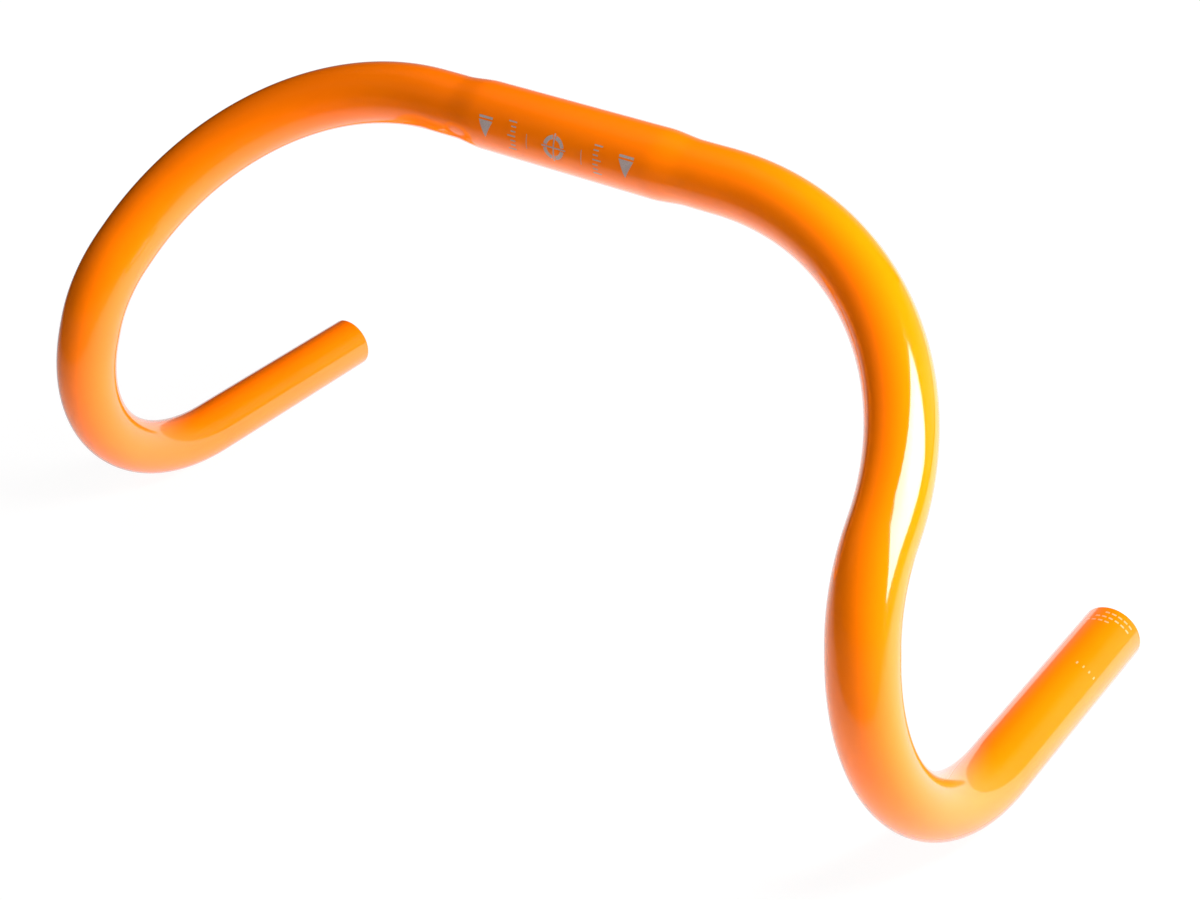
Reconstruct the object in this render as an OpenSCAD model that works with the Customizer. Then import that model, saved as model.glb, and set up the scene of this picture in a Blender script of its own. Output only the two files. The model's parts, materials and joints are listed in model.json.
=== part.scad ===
// Track drop handlebar: one alloy tube, bulged and butted for the stem, bent three times on each side.
// Origin: the middle of the clamp. +X runs along the clamp, -Y points forward and +Z points up.
// The drops run back level, so the bar is drawn as it sits on a bicycle with its drops level.

/* [Tube] */
// Outer diameter of the tube, from the tops to the open ends
tube_d = 23.8; // [22:0.1:25]
// Wall of the tube, from the tops to the open ends
tube_wall = 1.7; // [1.2:0.1:2.2]
// How much a bend draws in the radius of the tube
bend_draw = 0.02; // [0.01:0.005:0.05]

/* [Clamp] */
// Outer diameter of the bulge that the stem grips
clamp_d = 26; // [25.4:0.1:27.2]
// Wall of the butted tube inside the bulge
clamp_wall = 2.5; // [2:0.1:3.2]
// Length of the bulge at its full diameter
clamp_l = 76; // [60:1:84]
// Length of the swaged taper on each side of the bulge
taper_l = 15; // [8:1:18]

/* [Tops] */
// Width of the bar, between the centres of its open ends
bar_w = 400; // [385:5:440]
// How steeply the sweep of the tops falls towards the front, in degrees below level
top_slope = 40; // [30:1:46]
// Angle that each top is bent through, in degrees
top_angle = 83; // [78:1:86]
// Centreline radius of the top bends
top_r = 107; // [98:1:112]

/* [Hooks] */
// Straight tube left between one bend and the next
land = 4; // [2:0.5:8]
// Angle of the shoulder bend at the head of each hook, in degrees
shoulder_angle = 36; // [26:1:46]
// Centreline radius of the shoulder bends
shoulder_r = 54; // [44:1:64]
// Centreline radius of the hook bends
hook_r = 74; // [64:1:84]

/* [Drops] */
// Length of the straight drop at the foot of each hook
drop_l = 95; // [70:5:140]
// How far each drop points outwards, in degrees
drop_flare = 1; // [0:0.5:3]

/* [Open ends] */
// Chamfer that deburrs the outer and inner edges of the open ends
deburr = 0.4; // [0.1:0.05:0.5]

/* [Hidden] */

// Length over which a straight narrows into the drawn tube of the bend beside it
ease = 0.8;
// How far the bore's cutter runs out past the open ends
overrun = 2;
// Cone bands that draw the curve of one taper
taper_bands = 10;
round_fn = 96;

tube_r = tube_d / 2;
bore_r = tube_r - tube_wall;
clamp_r = clamp_d / 2;
clamp_bore_r = clamp_r - clamp_wall;

// The radius that the narrowed end of a straight has inside a bend
function seat(r) = r - 2 * bend_draw;
function unit(v) = v / norm(v);
// The direction across t that leans towards v
function across(t, v) = unit(v - (v * t) * t);
function middle_angle(a, b) = acos(a * b / (norm(a) * norm(b)));
// How far a bend carries the tube, from the direction it enters by and the one it turns towards
function bend_run(t, n, r, angle) = r * (sin(angle) * t + (1 - cos(angle)) * n);
function bend_exit(t, n, angle) = cos(angle) * t + sin(angle) * n;

// The top bend turns the tube from +X towards the front, in its own sloping plane.
top_in = [1, 0, 0];
top_toward = [0, -cos(top_slope), -sin(top_slope)];
top_out = bend_exit(top_in, top_toward, top_angle);

// The shoulder, the hook and the drop lie in one plane, so the hook ends exactly along the drop.
drop_out = [sin(drop_flare), cos(drop_flare), 0];
shoulder_toward = across(top_out, drop_out);
shoulder_out = bend_exit(top_out, shoulder_toward, shoulder_angle);
hook_toward = across(shoulder_out, drop_out);
hook_angle = middle_angle(shoulder_out, drop_out);

// The tube rolls about itself by this angle, from the plane of the top bend to that of the hook.
top_inside = bend_exit(top_toward, -top_in, top_angle);
hook_roll = atan2(cross(top_inside, shoulder_toward) * top_out, top_inside * shoulder_toward);

// What the straight centre has to be for the open ends to lie bar_w apart
side_run = bend_run(top_in, top_toward, top_r, top_angle)
    + land * top_out
    + bend_run(top_out, shoulder_toward, shoulder_r, shoulder_angle)
    + land * shoulder_out
    + bend_run(shoulder_out, hook_toward, hook_r, hook_angle)
    + drop_l * drop_out;
half_straight = bar_w / 2 - side_run[0];

// The bender's table for one side, with a row for each bend:
// the straight before it, the roll of its plane, its angle and its centreline radius
BENDS = [
    [0, 0, top_angle, top_r],
    [land, hook_roll, shoulder_angle, shoulder_r],
    [land, 0, hook_angle, hook_r],
];

// A bent rod that starts at the origin along +Z and turns towards +X
module bend(r, angle, centreline_r) {
    translate([centreline_r, 0, 0])
        rotate([90, 0, 0])
            rotate_extrude(angle = -angle, start = 180, $fn = round_fn)
                translate([centreline_r, 0])
                    circle(r = r);
}

// The rod of a short straight between two bends, narrowed at each end to seat inside them
module land_rod(r, length) {
    rotate_extrude($fn = round_fn)
        polygon([
            [0, -ease],
            [seat(r), -ease],
            [r, 0],
            [r, length],
            [seat(r), length + ease],
            [0, length + ease],
        ]);
}

// Carries what follows a bend to the bend's far end
module past_bend(angle, centreline_r) {
    translate([centreline_r, 0, 0])
        rotate([0, angle, 0])
            translate([-centreline_r, 0, 0])
                children();
}

// A rod along the bends of one side, from row i of the table on, with the drop as its child
module bent_side(r, i = 0) {
    if (i < len(BENDS)) {
        before = BENDS[i][0];
        roll = BENDS[i][1];
        angle = BENDS[i][2];
        centreline_r = BENDS[i][3];
        if (before > 0)
            land_rod(r, before);
        translate([0, 0, before])
            rotate([0, 0, roll]) {
                bend(r - bend_draw, angle, centreline_r);
                past_bend(angle, centreline_r)
                    bent_side(r, i + 1)
                        children();
            }
    } else {
        children();
    }
}

// Places a side, drawn along +Z with its first bend towards +X, at each end of the straight centre
module each_side() {
    for (side = [0, 1])
        mirror([side, 0, 0])
            translate([half_straight, 0, 0])
                rotate([top_slope - 90, 0, 0])
                    rotate([0, 90, 0])
                        children();
}

// A rod along the straight centre: mid_r through the clamp, swaged down to end_r towards each bend
module centre_rod(mid_r, end_r) {
    function swage(u) = mid_r + (end_r - mid_r) * u * u * (3 - 2 * u);
    right_taper = [
        for (i = [0 : taper_bands])
            let (u = i / taper_bands)
                [swage(u), clamp_l / 2 + u * taper_l]
    ];
    left_taper = [
        for (i = [taper_bands : -1 : 0])
            [right_taper[i][0], -right_taper[i][1]]
    ];
    bulge_x = clamp_l / 2 + taper_l;
    seat_x = half_straight + ease;
    rotate([0, 90, 0])
        rotate_extrude($fn = round_fn) {
            polygon([
                [0, -seat_x],
                [seat(end_r), -seat_x],
                [end_r, -half_straight],
                [end_r, half_straight],
                [seat(end_r), seat_x],
                [0, seat_x],
            ]);
            polygon(concat([[0, -bulge_x]], left_taper, right_taper, [[0, bulge_x]]));
        }
}

// The straight drop, with its outer edge deburred at the open end
module drop_rod() {
    rotate_extrude($fn = round_fn)
        polygon([
            [0, -ease],
            [seat(tube_r), -ease],
            [tube_r, 0],
            [tube_r, drop_l - deburr],
            [tube_r - deburr, drop_l],
            [0, drop_l],
        ]);
}

// The bore of the drop, opened out at its mouth and run on past the open end
module drop_bore() {
    rotate_extrude($fn = round_fn)
        polygon([
            [0, -ease],
            [seat(bore_r), -ease],
            [bore_r, 0],
            [bore_r, drop_l - deburr],
            [bore_r + deburr, drop_l],
            [bore_r + deburr, drop_l + overrun],
            [0, drop_l + overrun],
        ]);
}

module handlebar_tube() {
    color("darkorange")
        difference() {
            union() {
                centre_rod(clamp_r, tube_r);
                each_side()
                    bent_side(tube_r)
                        drop_rod();
            }
            union() {
                centre_rod(clamp_bore_r, bore_r);
                each_side()
                    bent_side(bore_r)
                        drop_bore();
            }
        }
}

handlebar_tube();
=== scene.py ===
"""Looks of the track drop handlebar: gloss orange paint, bare alloy at the sawn ends, and printed marks.

Everything is in metres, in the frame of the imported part: +X along the clamp, -Y forwards, +Z up.
Right and left are as the camera sees them: right is +X, which is the rider's left.
"""

import json
import math

import bpy
import numpy as np
from mathutils import Matrix, Quaternion, Vector


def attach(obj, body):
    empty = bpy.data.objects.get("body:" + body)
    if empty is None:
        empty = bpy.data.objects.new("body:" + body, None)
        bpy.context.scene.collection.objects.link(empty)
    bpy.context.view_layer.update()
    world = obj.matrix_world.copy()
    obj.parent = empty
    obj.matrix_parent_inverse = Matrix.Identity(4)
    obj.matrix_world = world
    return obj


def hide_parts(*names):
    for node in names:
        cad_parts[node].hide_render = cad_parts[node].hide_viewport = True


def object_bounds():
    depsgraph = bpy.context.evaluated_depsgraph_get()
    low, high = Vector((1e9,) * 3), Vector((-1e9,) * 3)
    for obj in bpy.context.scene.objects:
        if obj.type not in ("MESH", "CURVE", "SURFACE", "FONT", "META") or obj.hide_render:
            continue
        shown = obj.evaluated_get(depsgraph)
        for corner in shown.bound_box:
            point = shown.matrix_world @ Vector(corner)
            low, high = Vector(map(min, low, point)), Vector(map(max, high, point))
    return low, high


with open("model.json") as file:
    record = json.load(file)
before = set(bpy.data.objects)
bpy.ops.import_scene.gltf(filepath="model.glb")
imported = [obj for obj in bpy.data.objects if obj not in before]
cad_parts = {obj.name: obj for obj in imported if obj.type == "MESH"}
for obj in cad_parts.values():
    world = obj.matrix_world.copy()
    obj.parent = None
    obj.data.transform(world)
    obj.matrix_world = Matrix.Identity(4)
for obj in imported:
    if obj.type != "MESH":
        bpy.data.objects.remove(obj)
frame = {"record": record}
cad_box = [list(v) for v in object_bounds()]
mount_sizes = {mount["name"]: mount["dims"] for mount in frame["record"]["mounts"]}

MM = 0.001

# The tube, with its main sizes from the part's mounts and the others as in the part's source
TUBE_R = mount_sizes["left_grip"]["r_mm"] * MM
BORE_R = mount_sizes["left_end_bore"]["r_mm"] * MM
BEND_DRAW = 0.02 * MM
CLAMP_R = mount_sizes["stem_clamp"]["r_mm"] * MM
CLAMP_L = mount_sizes["stem_clamp"]["length_mm"] * MM
CLAMP_BORE_R = 10.5 * MM
TAPER_L = 15 * MM
BAR_W = 400 * MM
DEBURR = 0.4 * MM

# The bends of one side: angles in degrees, centreline radii in metres
TOP_SLOPE = 40
TOP_ANGLE = 83
TOP_R = 107 * MM
LAND = 4 * MM
SHOULDER_ANGLE = 36
SHOULDER_R = 54 * MM
HOOK_R = 74 * MM
DROP_L = 95 * MM
DROP_FLARE = 1

# How finely the tube is drawn: the length from ring to ring, and the angles of the points of a ring
BEND_STEP = 2.2 * MM
CLAMP_STEP = 4 * BEND_STEP
TAPER_STEP = 0.75 * MM
STRAIGHT_STEP = 2 * BEND_STEP
DROP_STEP = 3 * BEND_STEP
RING_SIDES = 96
RING_ANGLES = np.linspace(0, 2 * math.pi, RING_SIDES, endpoint=False)

# The bar's material slots
PAINTED = 0
SAWN = 1

# How bare of paint an open end is, from the outer chamfer to the mouth of the bore
CHAMFER_BARE = 0.25
FACE_OUTER_BARE = 0.42
FACE_INNER_BARE = 0.6
MOUTH_BARE = 0.55

# How far paint has blown into the bore
OVERSPRAY = 14 * MM

# Edges that turn by more than this many degrees stay sharp
SHARP_ANGLE = 30


def unit(v):
    return v / np.linalg.norm(v)


def across(t, v):
    """The direction across t that leans towards v."""
    return unit(v - v.dot(t) * t)


def smoothstep(u):
    u = min(max(u, 0.0), 1.0)
    return u * u * (3 - 2 * u)


class Walk:
    """Follows the centreline of one side from the middle of the clamp, and keeps a station for each ring.

    A station holds its point p, tangent t and normal n, its length s from the middle of the clamp,
    and whether it lies in a bend, where the tube is drawn thinner.
    """

    def __init__(self, point, tangent, normal):
        self.p, self.t, self.n = point, tangent, normal
        self.s = 0.0
        self.drawn = False
        self.stations = [self.station()]

    def station(self):
        return {"p": self.p, "t": self.t, "n": self.n, "s": self.s, "drawn": self.drawn}

    def straight(self, length, step):
        self.drawn = False
        count = max(1, math.ceil(length / step))
        for _ in range(count):
            self.p = self.p + self.t * length / count
            self.s += length / count
            self.stations.append(self.station())

    def bend(self, toward, angle, radius):
        """Turns towards a direction across the tangent. The ring's normal turns with it, without a twist."""
        self.drawn = True
        count = math.ceil(math.radians(angle) * radius / BEND_STEP)
        start_p, start_t, start_n = self.p, self.t, self.n
        side = np.cross(start_t, toward)
        for i in range(1, count + 1):
            a = math.radians(angle) * i / count
            self.p = start_p + radius * (math.sin(a) * start_t + (1 - math.cos(a)) * toward)
            self.t = math.cos(a) * start_t + math.sin(a) * toward
            in_plane = start_n.dot(start_t) * self.t + start_n.dot(toward) * np.cross(side, self.t)
            self.n = unit(in_plane + start_n.dot(side) * side)
            self.s += math.radians(angle) * radius / count
            self.stations.append(self.station())


def side_directions():
    """The directions that the bends of the +X side turn towards, and the angle of its hook bend."""
    slope, turn, flare = (math.radians(a) for a in (TOP_SLOPE, TOP_ANGLE, DROP_FLARE))
    top_in = np.array([1.0, 0.0, 0.0])
    top_toward = np.array([0.0, -math.cos(slope), -math.sin(slope)])
    top_out = math.cos(turn) * top_in + math.sin(turn) * top_toward
    drop_out = np.array([math.sin(flare), math.cos(flare), 0.0])
    shoulder_toward = across(top_out, drop_out)
    turn = math.radians(SHOULDER_ANGLE)
    shoulder_out = math.cos(turn) * top_out + math.sin(turn) * shoulder_toward
    hook_toward = across(shoulder_out, drop_out)
    hook_angle = math.degrees(math.acos(shoulder_out.dot(drop_out)))
    return top_toward, shoulder_toward, hook_toward, hook_angle


def walk_side(half_straight):
    """One side of the bar, from the middle of the clamp to its open end, as a list of stations."""
    top_toward, shoulder_toward, hook_toward, hook_angle = side_directions()
    w = Walk(np.zeros(3), np.array([1.0, 0.0, 0.0]), np.array([0.0, 0.0, 1.0]))
    w.straight(CLAMP_L / 2, CLAMP_STEP)
    w.straight(TAPER_L, TAPER_STEP)
    w.straight(half_straight - CLAMP_L / 2 - TAPER_L, STRAIGHT_STEP)
    w.bend(top_toward, TOP_ANGLE, TOP_R)
    w.straight(LAND, BEND_STEP)
    w.bend(shoulder_toward, SHOULDER_ANGLE, SHOULDER_R)
    w.straight(LAND, BEND_STEP)
    w.bend(hook_toward, hook_angle, HOOK_R)
    w.straight(DROP_L, DROP_STEP)
    return w.stations


def mirrored(station):
    """The same station on the -X side, with its tangent still pointing along the bar towards +X."""
    flip = np.array([-1.0, 1.0, 1.0])
    return {
        "p": station["p"] * flip,
        "t": -station["t"] * flip,
        "n": station["n"] * flip,
        "s": -station["s"],
        "drawn": station["drawn"],
    }


def bar_stations():
    """The stations of the whole bar, from its -X end to its +X end.

    A first walk along a trial straight gives how far the bends reach past it.
    """
    trial = BAR_W / 4
    reach = walk_side(trial)[-1]["p"][0] - trial
    side = walk_side(BAR_W / 2 - reach)
    return [mirrored(a) for a in side[:0:-1]] + side


def radius_at(station, mid_r, end_r):
    """The radius of the tube or its bore: mid_r in the clamp, swaged to end_r, and drawn in by the bends."""
    u = (abs(station["s"]) - CLAMP_L / 2) / TAPER_L
    r = mid_r + (end_r - mid_r) * smoothstep(u)
    return r - BEND_DRAW if station["drawn"] else r


def ring(station, r, along):
    """The points of a ring round the tube, moved along it from the station."""
    a = RING_ANGLES[:, None]
    side = np.cross(station["t"], station["n"])
    return station["p"] + along * station["t"] + r * (np.cos(a) * station["n"] + np.sin(a) * side)


def band(first, second):
    """Quads between two rings, whose vertices start at these indices."""
    k = np.arange(RING_SIDES)
    n = (k + 1) % RING_SIDES
    return np.stack([first + k, first + n, second + n, second + k], axis=1)


def mesh_object(name, vertices, faces, materials, face_materials=None, smooth=True):
    mesh = bpy.data.meshes.new(name)
    mesh.from_pydata(np.asarray(vertices, float).tolist(), [], [tuple(f) for f in faces])
    for m in materials:
        mesh.materials.append(m)
    if face_materials is not None:
        mesh.polygons.foreach_set("material_index", np.asarray(face_materials, np.int32))
    mesh.polygons.foreach_set("use_smooth", np.full(len(mesh.polygons), smooth))
    mesh.update()
    obj = bpy.data.objects.new(name, mesh)
    bpy.context.scene.collection.objects.link(obj)
    return obj


def add_attribute(obj, name, kind, field, values):
    layer = obj.data.attributes.new(name, kind, "POINT")
    layer.data.foreach_set(field, np.asarray(values, np.float32).ravel())


def sharpen(obj):
    """Keeps the edges that turn sharply as edges, and shades the rest smooth."""
    bpy.context.view_layer.objects.active = obj
    obj.select_set(True)
    bpy.ops.object.shade_smooth_by_angle(angle=math.radians(SHARP_ANGLE))
    obj.select_set(False)


def make_bar(stations, paint, alloy):
    """The whole tube as one closed skin: painted outside, with sawn and deburred ends, and the bore.

    Each vertex also keeps where it would be on the straight tube, and how bare of paint it is.
    """
    first, last = stations[0], stations[-1]
    rings, skins, unbent, bareness = [], [], [], []

    def add(station, r, skin, bare, along=0.0):
        """Adds a ring, and the material of the band between it and the ring that comes next."""
        rings.append(ring(station, r, along))
        skins.append(skin)
        lengths = np.full(RING_SIDES, station["s"] + along)
        unbent.append(np.stack([r * np.cos(RING_ANGLES), r * np.sin(RING_ANGLES), lengths], axis=1))
        bareness.append(np.full(RING_SIDES, bare))

    def bore_bareness(station):
        inside = last["s"] - abs(station["s"])
        return MOUTH_BARE + (1 - MOUTH_BARE) * smoothstep(inside / OVERSPRAY)

    add(first, TUBE_R - DEBURR, SAWN, FACE_OUTER_BARE)
    add(first, TUBE_R, PAINTED, CHAMFER_BARE, DEBURR)
    for station in stations[1:-1]:
        add(station, radius_at(station, CLAMP_R, TUBE_R), PAINTED, 0.0)
    add(last, TUBE_R, SAWN, CHAMFER_BARE, -DEBURR)
    add(last, TUBE_R - DEBURR, SAWN, FACE_OUTER_BARE)
    add(last, BORE_R + DEBURR, SAWN, FACE_INNER_BARE)
    add(last, BORE_R, SAWN, MOUTH_BARE, -DEBURR)
    for station in stations[-2:0:-1]:
        add(station, radius_at(station, CLAMP_BORE_R, BORE_R), SAWN, bore_bareness(station))
    add(first, BORE_R, SAWN, MOUTH_BARE, DEBURR)
    add(first, BORE_R + DEBURR, SAWN, FACE_INNER_BARE)

    count = len(rings)
    bands = [band(i * RING_SIDES, (i + 1) % count * RING_SIDES) for i in range(count)]
    band_skins = np.repeat(skins, RING_SIDES)
    bar = mesh_object("bar", np.concatenate(rings), np.concatenate(bands), [paint, alloy], band_skins)
    add_attribute(bar, "unbent", "FLOAT_VECTOR", "vector", np.concatenate(unbent))
    add_attribute(bar, "bareness", "FLOAT", "value", np.concatenate(bareness))
    return bar


class Tree:
    """The nodes of a material or of the world, with short ways to add and link them."""

    def __init__(self, owner):
        owner.use_nodes = True
        self.nodes, self.links = owner.node_tree.nodes, owner.node_tree.links

    def add(self, kind, **values):
        """A new node, with each value on the input or the setting of that name."""
        n = self.nodes.new("ShaderNode" + kind)
        for key, value in values.items():
            if key in n.inputs:
                n.inputs[key].default_value = value
            else:
                setattr(n, key, value)
        return n

    def feed(self, socket, value):
        """Gives an input a number or a colour, or links it to the output of another node."""
        if isinstance(value, (float, tuple)):
            socket.default_value = value
        else:
            self.links.new(value, socket)

    def combine(self, operation, first, second):
        n = self.add("Math", operation=operation)
        self.feed(n.inputs[0], first)
        self.feed(n.inputs[1], second)
        return n.outputs[0]

    def remap(self, value, span, to=(0.0, 1.0), way="SMOOTHSTEP"):
        """Carries a value from one span to another, and holds it at their ends."""
        n = self.add("MapRange", interpolation_type=way)
        for key, end in zip(("From Min", "From Max", "To Min", "To Max"), (*span, *to)):
            n.inputs[key].default_value = end
        self.feed(n.inputs["Value"], value)
        return n.outputs["Result"]

    def noise(self, place, scale, detail):
        n = self.add("TexNoise", Scale=scale, Detail=detail)
        self.feed(n.inputs["Vector"], place)
        return n.outputs["Fac"]

    def ramp(self, value, positions, colors):
        """A blend from the first colour to the second, between two positions."""
        n = self.add("ValToRGB")
        for element, position, color in zip(n.color_ramp.elements, positions, colors):
            element.position = position
            element.color = color
        self.feed(n.inputs["Fac"], value)
        return n.outputs["Color"]

    def mixed(self, factor, first, second):
        """A mix of two colours, which are the seventh and eighth inputs of their node."""
        n = self.add("Mix", data_type="RGBA")
        self.feed(n.inputs["Factor"], factor)
        self.feed(n.inputs[6], first)
        self.feed(n.inputs[7], second)
        return n.outputs[2]

    def bump(self, height, strength, distance):
        n = self.add("Bump", Strength=strength, Distance=distance)
        self.feed(n.inputs["Height"], height)
        return n.outputs["Normal"]

    def distance(self, place):
        """How far a place is from the origin of what the nodes belong to."""
        n = self.add("VectorMath", operation="LENGTH")
        self.feed(n.inputs[0], place)
        return n.outputs["Value"]


def surface(name):
    """A new material of a piece, with its nodes and the inputs of its shader."""
    m = bpy.data.materials.new(name)
    tree = Tree(m)
    return m, tree, tree.nodes["Principled BSDF"].inputs


def orange_paint():
    """Gloss paint under a clear coat, with a fine orange peel and a slight drift of tone."""
    deep, pale = (1.0, 0.174, 0.001, 1), (1.0, 0.194, 0.001, 1)
    m, tree, shader = surface("orange_gloss_paint")
    shader["Roughness"].default_value = 0.12
    shader["Coat Weight"].default_value = 1.0
    shader["Coat Roughness"].default_value = 0.02
    shader["Coat IOR"].default_value = 1.5
    place = tree.add("TexCoord").outputs["Object"]
    drift = tree.noise(place, scale=14.0, detail=2.0)
    tree.feed(shader["Base Color"], tree.ramp(drift, (0.3, 0.7), (deep, pale)))
    peel = tree.noise(place, scale=420.0, detail=1.0)
    tree.feed(shader["Coat Normal"], tree.bump(peel, strength=0.04, distance=0.2 * MM))
    return m


def sawn_alloy():
    """The sawn ends and the bore: thin paint that gives way to drawn aluminium, streaked along the tube."""
    dark_alloy, light_alloy = (0.52, 0.52, 0.54, 1), (0.8, 0.8, 0.8, 1)
    # Painted shade: the paint on the outer chamfer and at the rim of the end face is a dark brown
    painted_rim_shade, thin_paint = (0.12, 0.04, 0.004, 1), (0.9, 0.17, 0.002, 1)
    rim_shade_fade = (FACE_OUTER_BARE, 0.5)
    metal_shows = (0.98, 1.12)
    full_metal = 0.75
    roughness = (0.22, 0.46)
    streak_stretch = (1.0, 1.0, 0.02)
    m, tree, shader = surface("sawn_alloy")
    unbent = tree.add("Attribute", attribute_name="unbent").outputs["Vector"]
    bareness = tree.add("Attribute", attribute_name="bareness").outputs["Fac"]
    specks = tree.noise(unbent, scale=900.0, detail=3.0)
    drawn_out = tree.add("VectorMath", operation="MULTIPLY")
    tree.feed(drawn_out.inputs[0], unbent)
    tree.feed(drawn_out.inputs[1], streak_stretch)
    streaks = tree.noise(drawn_out.outputs[0], scale=2200.0, detail=2.0)
    metal = tree.remap(tree.combine("ADD", bareness, specks), metal_shows)
    alloy = tree.mixed(streaks, dark_alloy, light_alloy)
    # Painted shade: dark brown paint at the outer rim, turning to the thin orange paint further in
    past_rim_shade = tree.remap(bareness, rim_shade_fade, way="LINEAR")
    paint = tree.mixed(past_rim_shade, painted_rim_shade, thin_paint)
    tree.feed(shader["Base Color"], tree.mixed(metal, paint, alloy))
    tree.feed(shader["Metallic"], tree.combine("MULTIPLY", metal, full_metal))
    tree.feed(shader["Roughness"], tree.remap(streaks, (0.0, 1.0), roughness, way="LINEAR"))
    tree.feed(shader["Normal"], tree.bump(streaks, strength=0.25, distance=0.05 * MM))
    return m


def printed_ink(name, first, second):
    """Pad-printed ink under the clear coat, with slightly uneven cover."""
    m, tree, shader = surface(name)
    shader["Roughness"].default_value = 0.3
    shader["Coat Weight"].default_value = 1.0
    shader["Coat Roughness"].default_value = 0.03
    cover = tree.noise(tree.add("TexCoord").outputs["Object"], scale=2600.0, detail=2.0)
    tree.feed(shader["Base Color"], tree.ramp(cover, (0.35, 0.6), (first, second)))
    return m


# The printed marks stand this far proud of the paint, and their backs are sunk this deep in it
PRINT_PROUD = 0.04 * MM
PRINT_SUNK = 0.1 * MM
# How finely they are drawn: the height of a block's strips, and the points along an arc or a pointer
PRINT_STEP = 0.35 * MM
PRINT_POINTS = 20


class Print:
    """Thin ink shapes that hug a straight length of tube, drawn as length along it against length round it.

    Length round the tube starts from its top, and runs towards the side that this is told.
    """

    def __init__(self, start, along, side, radius):
        self.start, self.along, self.side, self.radius = start, along, side, radius
        self.up = np.cross(side, along)
        self.vertices, self.faces = [], []

    def place(self, grid, lift):
        round_by = grid[..., 1:] / self.radius
        outward = np.cos(round_by) * self.up + np.sin(round_by) * self.side
        return self.start + grid[..., :1] * self.along + (self.radius + lift) * outward

    def shape(self, grid):
        """A closed shell over a grid of points, whose rows follow each other round the tube."""
        rows, cols = grid.shape[:2]
        base = len(self.vertices)
        for lift in (PRINT_PROUD, -PRINT_SUNK):
            self.vertices.extend(self.place(grid, lift).reshape(-1, 3).tolist())

        def at(i, j, back=0):
            return base + back * rows * cols + i * cols + j

        for i in range(rows - 1):
            for j in range(cols - 1):
                self.faces.append((at(i, j), at(i + 1, j), at(i + 1, j + 1), at(i, j + 1)))
                self.faces.append((at(i, j, 1), at(i, j + 1, 1), at(i + 1, j + 1, 1), at(i + 1, j, 1)))
            for j, turn in ((0, 1), (cols - 1, -1)):
                wall = (at(i, j), at(i, j, 1), at(i + 1, j, 1), at(i + 1, j))
                self.faces.append(wall[::turn])
        for i, turn in ((0, -1), (rows - 1, 1)):
            for j in range(cols - 1):
                wall = (at(i, j), at(i, j, 1), at(i, j + 1, 1), at(i, j + 1))
                self.faces.append(wall[::turn])

    def spans(self, rows):
        """A shape from rows of (length round the tube, first and last length along it)."""
        self.shape(np.array([[(x0, v), (x1, v)] for v, x0, x1 in rows]))

    def block(self, x, v, width, height):
        """A rectangle about a middle, in enough strips to follow the tube."""
        strips = max(1, math.ceil(height / PRINT_STEP))
        rounds = [v + height * (i / strips - 0.5) for i in range(strips + 1)]
        self.spans([(row, x - width / 2, x + width / 2) for row in rounds])

    def arc(self, x, v, outer, inner, first, last):
        """A piece of a ring, between two angles in degrees."""
        a = np.radians(np.linspace(first, last, PRINT_POINTS))
        circle = np.stack([np.cos(a), np.sin(a)], axis=1)
        self.shape(np.stack([circle * inner, circle * outer], axis=1) + (x, v))

    def finish(self, name, ink):
        return mesh_object(name, self.vertices, self.faces, [ink])


# Where the clamp's marks lie round it, in degrees forwards from its top
MARKS_AT = 84.5
LINES_AT = 87
POINTERS_AT = 82

# The stroke that the cross and the ladders are drawn in
STROKE = 0.5 * MM

# The ring and cross in the middle. The ring stops this many degrees short of each arm
RING_OUTER = 4.6 * MM
RING_INNER = 3.1 * MM
RING_GAP = 10
CROSS_H = 10.6 * MM
ARM_X = 2.8 * MM
ARM_L = 5.0 * MM

# The thin line on each side of it
LINE_X = 12.3 * MM
LINE_W = 0.22 * MM
LINE_H = 5.6 * MM

# The ladders, whose every third tick is a long one
LADDER_X = 17.4 * MM
TICKS = 7
TICK_PITCH = 1.75 * MM
LONG_TICK = 3.6 * MM
SHORT_TICK = 2.2 * MM

# The pointers: a cap, a gap and a triangle that ends in a very small flat
POINTER_X = 31.5 * MM
POINTER_TOP = -4.0 * MM
POINTER_HALF = 3.1 * MM
POINTER_H = 6.4 * MM
POINTER_TIP = 0.05 * MM
CAP_H = 0.9 * MM
CAP_GAP = 0.7 * MM


def make_pointer(p, x, v):
    """A bar over a solid triangle whose tip is down."""
    top = v + POINTER_TOP
    p.block(x, top + CAP_H / 2, 2 * POINTER_HALF, CAP_H)
    rows = []
    for u in np.linspace(0, 1, PRINT_POINTS):
        reach = POINTER_HALF * (1 - u) + POINTER_TIP
        rows.append((top + CAP_H + CAP_GAP + u * POINTER_H, x - reach, x + reach))
    p.spans(rows)


def make_clamp_print(ink):
    """Marks for setting the bar in its stem: a ring and cross, two ladders, two lines and two pointers."""
    p = Print(np.zeros(3), np.array([1.0, 0, 0]), np.array([0, -1.0, 0]), CLAMP_R)
    middle, lines, pointers = (CLAMP_R * math.radians(a) for a in (MARKS_AT, LINES_AT, POINTERS_AT))
    for arm in (0, 90, 180, 270):
        p.arc(0, middle, RING_OUTER, RING_INNER, arm + RING_GAP, arm + 90 - RING_GAP)
    p.block(0, middle, STROKE, CROSS_H)
    for side in (-1, 1):
        p.block(side * ARM_X, middle, ARM_L, STROKE)
        p.block(side * LINE_X, lines, LINE_W, LINE_H)
        for i in range(TICKS):
            width = LONG_TICK if i % 3 == 0 else SHORT_TICK
            tick = middle + (i - TICKS // 2) * TICK_PITCH
            p.block(side * (LADDER_X + width / 2), tick, width, STROKE)
        make_pointer(p, side * POINTER_X, pointers)
    return p.finish("clamp_print", ink)


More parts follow.
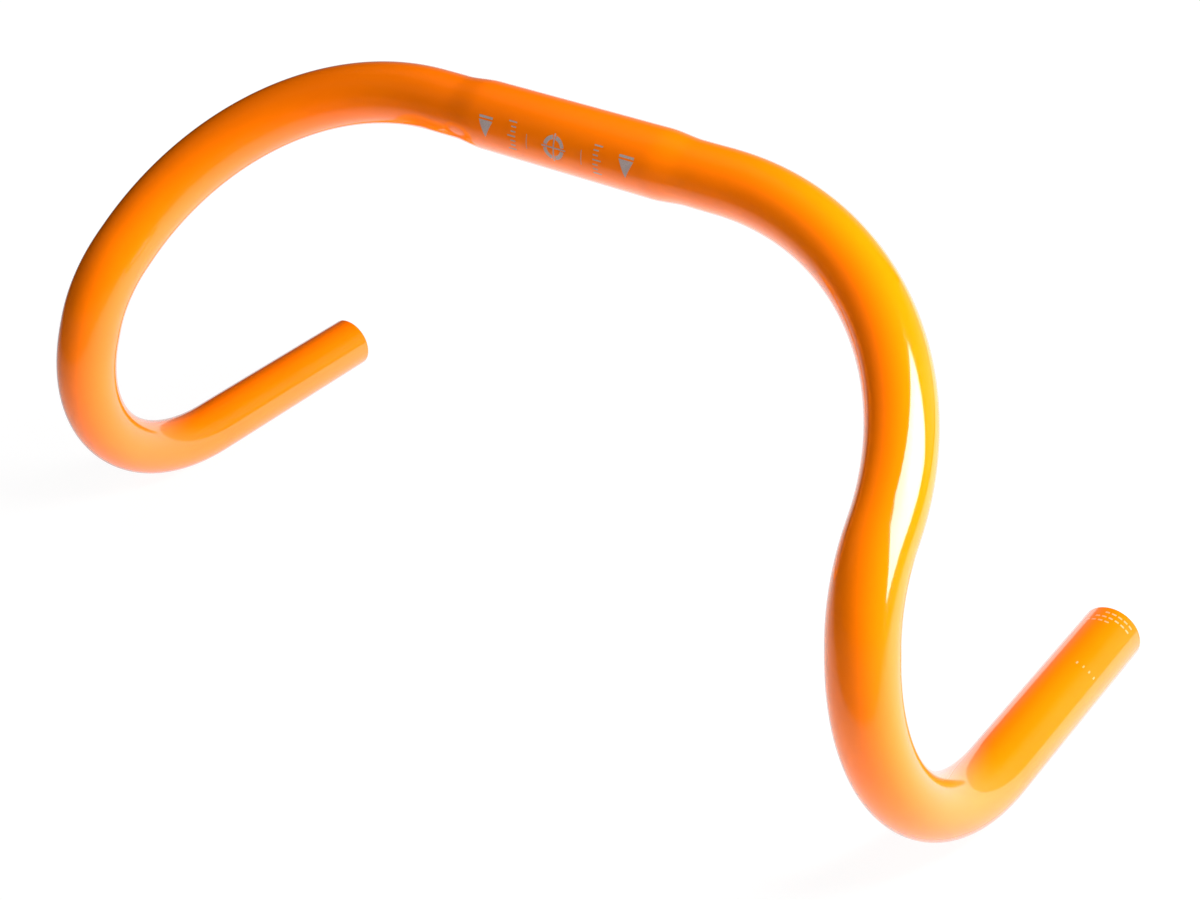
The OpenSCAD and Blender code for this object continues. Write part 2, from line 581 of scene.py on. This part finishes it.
# The rows of trim dashes: how far from the open end, the first dash's place round the tube, and how many
TRIM_ROWS = (
    (3.6 * MM, -1.5 * MM, 5),
    (6.6 * MM, -4.2 * MM, 6),
    (9.4 * MM, -7.2 * MM, 4),
)
DASH_PITCH = 2.6 * MM
DASH_W = 0.8 * MM
DASH_H = 1.7 * MM

# The short scale: how far it is from the open end, and its ticks, which follow each other round the tube
SCALE_FROM_END = 38 * MM
SCALE_TICKS = 4
SCALE_START = 2.0 * MM
SCALE_PITCH = 2.8 * MM
SCALE_W = 1.3 * MM
SCALE_H = 0.6 * MM


def make_drop_print(ink, last):
    """Rows of trim marks round the top of the right drop's end, and a short scale further in."""
    side = np.cross(last["t"], np.array([0, 0, 1.0]))
    p = Print(last["p"], last["t"], side, TUBE_R)
    for from_end, first, count in TRIM_ROWS:
        for i in range(count):
            p.block(-from_end, first + DASH_PITCH * i, DASH_W, DASH_H)
    for i in range(SCALE_TICKS):
        p.block(-SCALE_FROM_END, SCALE_START + SCALE_PITCH * i, SCALE_W, SCALE_H)
    return p.finish("drop_print", ink)


CAMERA_AT = Vector((0.380882, -0.495791, 0.271561))
CAMERA_YAW = math.radians(36.902)
CAMERA_PITCH = math.radians(32.997)
CAMERA_ROLL = math.radians(-1.08)
# The lens and its sensor's width, in millimetres
CAMERA_LENS = 55.715
CAMERA_SENSOR = 36
CAMERA_NEAREST = 0.01

FLOOR_HALF = 6.0
FLOOR_COLOR = (0.8, 0.8, 0.8, 1)
FLOOR_BOUNCE = 0.75
# What the camera sees of the floor: a faint shadow, on a white that rises from one distance to another
SHADOW_COLOR = (0.1, 0.1, 0.1, 1)
WHITE_FADE = (0.3, 0.8)
WHITE_LEVELS = (0.93, 1.0)

# The paper's edges, each a direction on the floor and how far along it the paper starts and is full
PAPER_EDGES = (
    (-0.11, 0.994, -0.38, 0.0),
    (-0.11, 0.994, -0.3, -0.27),
    (0.8, 0.6, -0.6, -0.08),
    (-1.0, 0.0, -1.04, -0.6),
)

# The bright wall that gloss sees behind the bar: its full level, and where it comes in along Z and along Y
WALL_LEVEL = 0.47
WALL_DOWN = (0.58, -0.2)
WALL_BACK = (0.45, 1.0)

# Softboxes near the bar: name, place, the point that they face, width, height and radiance
NEAR_LAMPS = (
    ("key", (0.41, 0.036, 0.333), Vector((0.17, -0.06, -0.04)), 0.28, 0.16, 38.5),
    ("left", (-0.3, 0.1, 0.45), Vector((-0.15, -0.03, -0.1)), 0.4, 0.4, 2.2),
)

# Large soft lamps far from the bar: name, azimuth, elevation and radiance
FAR_LAMPS = (
    ("low_right", 80, 8, 12.2),
    ("low_back", 40, 20, 4.9),
    ("left_front", -125, 30, 0.8),
)
FAR_DISTANCE = 3.0
FAR_SIZE = 1.5
BAR_MIDDLE = Vector((0, -0.02, -0.08))

# The panel that shows as the long highlight. Its strength falls between two distances from its middle
PANEL_AT = Vector((0.534, 0.053, 0.255))
PANEL_FACING = Vector((-0.704, 0.383, -0.599))
PANEL_ROLL = 0.508
PANEL_HALF_W = 0.235
PANEL_HALF_H = 0.26
PANEL_COLOR = (0.92, 0.88, 1.0, 1)
PANEL_FADE = (0.05, 0.35)
PANEL_LEVELS = (13.5, 8.5)

# The black card stands across X, over these lengths of Y and Z
FLAG_X = 0.155
FLAG_Y = (-0.35, 0.4)
FLAG_Z = (0.016, 0.7)


def make_camera():
    yaw, pitch, roll = CAMERA_YAW, CAMERA_PITCH, CAMERA_ROLL
    ahead = Vector((-math.sin(yaw) * math.cos(pitch), math.cos(yaw) * math.cos(pitch), -math.sin(pitch)))
    level = Vector((math.cos(yaw), math.sin(yaw), 0))
    upright = level.cross(ahead)
    right = math.cos(roll) * level + math.sin(roll) * upright
    up = -math.sin(roll) * level + math.cos(roll) * upright
    camera = bpy.data.objects.new("camera", bpy.data.cameras.new("camera"))
    camera.matrix_world = Matrix.Translation(CAMERA_AT) @ Matrix((right, up, -ahead)).transposed().to_4x4()
    camera.data.lens = CAMERA_LENS
    camera.data.sensor_width = CAMERA_SENSOR
    camera.data.clip_start = CAMERA_NEAREST
    bpy.context.scene.collection.objects.link(camera)
    bpy.context.scene.camera = camera


def studio_material(name):
    """A new material of the studio, whose nodes are only its output so far."""
    m = bpy.data.materials.new(name)
    tree = Tree(m)
    tree.nodes.clear()
    return m, tree, tree.add("OutputMaterial").inputs["Surface"]


def studio_card(name, corners, m):
    """A flat piece of the studio with one face."""
    return mesh_object(name, corners, [(0, 1, 2, 3)], [m], smooth=False)


def only_in_gloss(obj):
    """Leaves an object of the studio to be seen in reflections alone."""
    obj.visible_camera = False
    obj.visible_diffuse = False
    obj.visible_transmission = False
    obj.visible_volume_scatter = False
    obj.visible_shadow = False


def glossy_floor(tree):
    """What gloss sees of the floor: white paper that ends in front of the bar and to its left."""
    place = tree.add("TexCoord").outputs["Object"]
    total = 1.0
    for x_part, y_part, start, full in PAPER_EDGES:
        dot = tree.add("VectorMath", operation="DOT_PRODUCT")
        tree.feed(dot.inputs[0], place)
        tree.feed(dot.inputs[1], (x_part, y_part, 0))
        edge = tree.remap(dot.outputs["Value"], (start, full), way="LINEAR")
        total = tree.combine("MULTIPLY", total, edge)
    shine = tree.add("Emission")
    tree.feed(shine.inputs["Strength"], total)
    return shine.outputs[0]


def added(tree, first, second):
    """The light of two shaders together."""
    n = tree.add("AddShader")
    tree.feed(n.inputs[0], first)
    tree.feed(n.inputs[1], second)
    return n.outputs[0]


def make_floor(z):
    """A floor that lights the bar as pale paper does, and is nearly white to the camera."""
    m, tree, out = studio_material("floor")
    path = tree.add("LightPath")
    bounce = tree.add("BsdfDiffuse", Color=FLOOR_COLOR).outputs[0]
    shader = added(tree, bounce, tree.add("Emission", Strength=FLOOR_BOUNCE).outputs[0])
    shade = tree.add("BsdfDiffuse", Color=SHADOW_COLOR).outputs[0]
    away = tree.distance(tree.add("TexCoord").outputs["Object"])
    white = tree.add("Emission")
    tree.feed(white.inputs["Strength"], tree.remap(away, WHITE_FADE, WHITE_LEVELS))
    seen = added(tree, shade, white.outputs[0])
    for ray, other in (("Is Glossy Ray", glossy_floor(tree)), ("Is Camera Ray", seen)):
        mix = tree.add("MixShader")
        tree.feed(mix.inputs[0], path.outputs[ray])
        tree.feed(mix.inputs[1], shader)
        tree.feed(mix.inputs[2], other)
        shader = mix.outputs[0]
    tree.feed(out, shader)
    s = FLOOR_HALF
    studio_card("floor", [(-s, -s, z), (s, -s, z), (s, s, z), (-s, s, z)], m)


def make_world():
    """White to the camera, dark to diffuse light, and a low bright wall behind the bar to gloss."""
    world = bpy.data.worlds.new("world")
    bpy.context.scene.world = world
    tree = Tree(world)
    tree.nodes.clear()
    out = tree.add("OutputWorld")
    path = tree.add("LightPath")
    parts = tree.add("SeparateXYZ")
    tree.feed(parts.inputs[0], tree.add("TexCoord").outputs["Generated"])
    low = tree.remap(parts.outputs["Z"], WALL_DOWN, (0.0, WALL_LEVEL))
    behind = tree.remap(parts.outputs["Y"], WALL_BACK)
    wall = tree.combine("MULTIPLY", low, behind)
    glossy = tree.combine("MULTIPLY", wall, path.outputs["Is Glossy Ray"])
    back = tree.add("Background", Color=(1, 1, 1, 1))
    tree.feed(back.inputs["Strength"], tree.combine("MAXIMUM", glossy, path.outputs["Is Camera Ray"]))
    tree.feed(out.inputs["Surface"], back.outputs[0])


def softbox(name, at, towards, width, height, radiance):
    """A rectangular lamp of a given radiance, facing a point. Reflections don't see it."""
    data = bpy.data.lights.new(name, "AREA")
    data.shape = "RECTANGLE"
    data.size, data.size_y = width, height
    data.energy = radiance * math.pi * width * height
    lamp = bpy.data.objects.new(name, data)
    lamp.location = at
    lamp.rotation_mode = "QUATERNION"
    lamp.rotation_quaternion = (Vector(at) - towards).to_track_quat("Z", "Y")
    lamp.visible_camera = False
    lamp.visible_glossy = False
    bpy.context.scene.collection.objects.link(lamp)


def from_middle(azimuth, elevation, distance):
    """A point at this direction and distance from the middle of the bar. Azimuth 0 is +Y and 90 is +X."""
    a, e = math.radians(azimuth), math.radians(elevation)
    away = Vector((math.sin(a) * math.cos(e), math.cos(a) * math.cos(e), math.sin(e)))
    return BAR_MIDDLE + distance * away


def make_highlight_panel():
    """The softbox of the long highlight on the right: bright in its middle, and dimmer at its edges."""
    m, tree, out = studio_material("highlight_panel")
    m.cycles.emission_sampling = "NONE"
    away = tree.distance(tree.add("TexCoord").outputs["Object"])
    glow = tree.add("Emission", Color=PANEL_COLOR)
    tree.feed(glow.inputs["Strength"], tree.remap(away, PANEL_FADE, PANEL_LEVELS))
    tree.feed(out, glow.outputs[0])
    w, h = PANEL_HALF_W, PANEL_HALF_H
    panel = studio_card("highlight_panel", [(-w, -h, 0), (w, -h, 0), (w, h, 0), (-w, h, 0)], m)
    panel.location = PANEL_AT
    panel.rotation_mode = "QUATERNION"
    facing = (-PANEL_FACING).to_track_quat("Z", "Y")
    panel.rotation_quaternion = facing @ Quaternion((0, 0, 1), PANEL_ROLL)
    only_in_gloss(panel)


def make_flag():
    """A black card that keeps the panel out of the reflections in the clamp and the left side."""
    m, tree, out = studio_material("black_flag")
    tree.feed(out, tree.add("Emission", Strength=0.0).outputs[0])
    x, (y0, y1), (z0, z1) = FLAG_X, FLAG_Y, FLAG_Z
    only_in_gloss(studio_card("flag", [(x, y0, z0), (x, y1, z0), (x, y1, z1), (x, y0, z1)], m))


def make_lights():
    for lamp in NEAR_LAMPS:
        softbox(*lamp)
    for name, azimuth, elevation, radiance in FAR_LAMPS:
        at = from_middle(azimuth, elevation, FAR_DISTANCE)
        softbox(name, at, BAR_MIDDLE, FAR_SIZE, FAR_SIZE, radiance)
    make_highlight_panel()
    make_flag()


def make_pieces():
    stations = bar_stations()
    bar = make_bar(stations, orange_paint(), sawn_alloy())
    sharpen(bar)
    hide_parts("handlebar_tube")
    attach(bar, "root")
    silver = printed_ink("silver_ink", (0.37, 0.29, 0.27, 1), (0.48, 0.39, 0.37, 1))
    cream = printed_ink("cream_ink", (1.0, 0.28, 0.12, 1), (1.0, 0.36, 0.18, 1))
    for marks in (make_clamp_print(silver), make_drop_print(cream, stations[-1])):
        sharpen(marks)
        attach(marks, "root")


make_camera()
make_pieces()
make_floor(cad_box[0][2])
make_world()
make_lights()
bpy.context.scene.view_settings.view_transform = "Standard"
